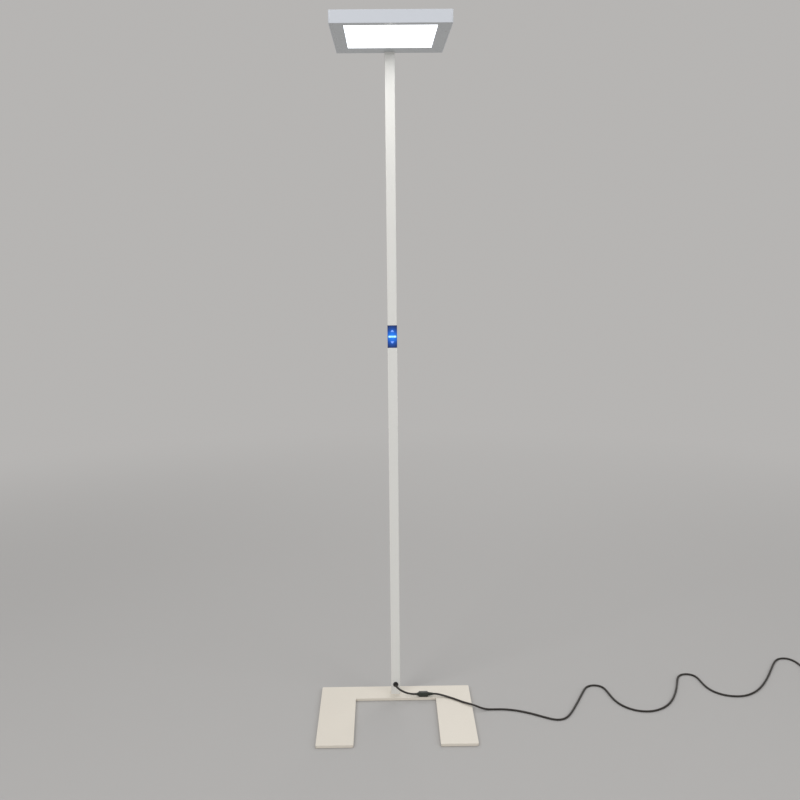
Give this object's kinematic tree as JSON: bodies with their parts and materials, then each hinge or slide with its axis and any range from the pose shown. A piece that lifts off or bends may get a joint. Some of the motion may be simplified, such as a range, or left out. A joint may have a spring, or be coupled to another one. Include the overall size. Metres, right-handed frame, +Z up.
{
  "type": "office floor lamp",
  "caption": "Free-standing office lamp: a flat lit head on a slim square pole with a lit key pad, a U-shaped foot plate and a mains lead with an inline coupler and plug.",
  "frame": {"origin": "on the floor under the pole's axis, on the middle of the pad under the foot's back beam", "axes": "+Z up along the pole, -Y towards the head's front edge and the legs' ends, +X to the viewer's right, where the mains lead runs"},
  "size_m": [1.625, 0.7488, 1.95],
  "materials": {
    "white_paint": "satin",
    "warm_white_paint": "satin",
    "underside_paint": "satin",
    "opal_plastic": "lit from behind",
    "clear_plastic": "clear, edge-lit",
    "white_plastic": "matt",
    "bare_aluminium": "brushed",
    "white_board": "satin",
    "green_board": "satin",
    "led_yellow": "clear",
    "led_blue": "lit",
    "screw_steel": "zinc plated",
    "block_steel": "plain",
    "black_gloss": "gloss",
    "black_plastic": "matt",
    "lit_cyan": "lit",
    "lit_blue": "lit",
    "wire_red": "satin",
    "cable_grey": "satin",
    "black_rubber": "satin",
    "pin_metal": "polished",
    "earth_brass": "satin"
  },
  "bodies": {
    "lamp": {"head_housing": "white_paint", "head_frame": "underside_paint", "diffuser": "opal_plastic", "light_guide": "clear_plastic", "reflector_sheet": "white_plastic", "panel_back": "bare_aluminium", "heat_rails": "bare_aluminium", "led_boards": "white_board", "leds": "led_yellow", "panel_screws": "screw_steel", "frame_screws": "screw_steel", "head_bracket": "bare_aluminium", "bracket_screws": "screw_steel", "driver": "white_plastic", "dimmer_module": "white_plastic", "terminal_block": "white_plastic", "head_wiring": "wire_red", "upper_pole": "white_paint", "lower_pole": "white_paint", "pole_core": "bare_aluminium", "set_screws": "screw_steel", "control_housing": "black_gloss", "control_cover": "black_gloss", "control_board": "green_board", "tact_switches": "black_plastic", "control_leds": "led_blue", "light_bar": "lit_cyan", "control_cable": "cable_grey", "supply_cable": "cable_grey", "grommet": "black_rubber", "foot_block": "block_steel", "foot_bolts": "screw_steel", "foot_plate": "warm_white_paint", "foot_pads": "black_rubber", "lead_cord": "black_rubber", "coupler_socket": "black_plastic", "coupler_plug": "black_plastic", "mains_cord": "black_rubber", "cord_tail": "black_rubber", "cord_coil": "black_rubber", "cord_tie": "black_plastic", "mains_plug": "black_plastic", "plug_pins": "pin_metal", "plug_earth": "earth_brass"},
    "key_up": {"key_up": "black_gloss", "key_up_symbol": "lit_blue"},
    "key_down": {"key_down": "black_gloss", "key_down_symbol": "lit_blue"}
  },
  "joints": [
    {"name": "key_up_press", "type": "slide", "parent": "lamp", "child": "key_up", "axis": [0, 1, 0], "range_m": [0, 0.0006], "stiffness_N_per_m": 2000},
    {"name": "key_down_press", "type": "slide", "parent": "lamp", "child": "key_down", "axis": [0, 1, 0], "range_m": [0, 0.0006], "stiffness_N_per_m": 2000}
  ]
}
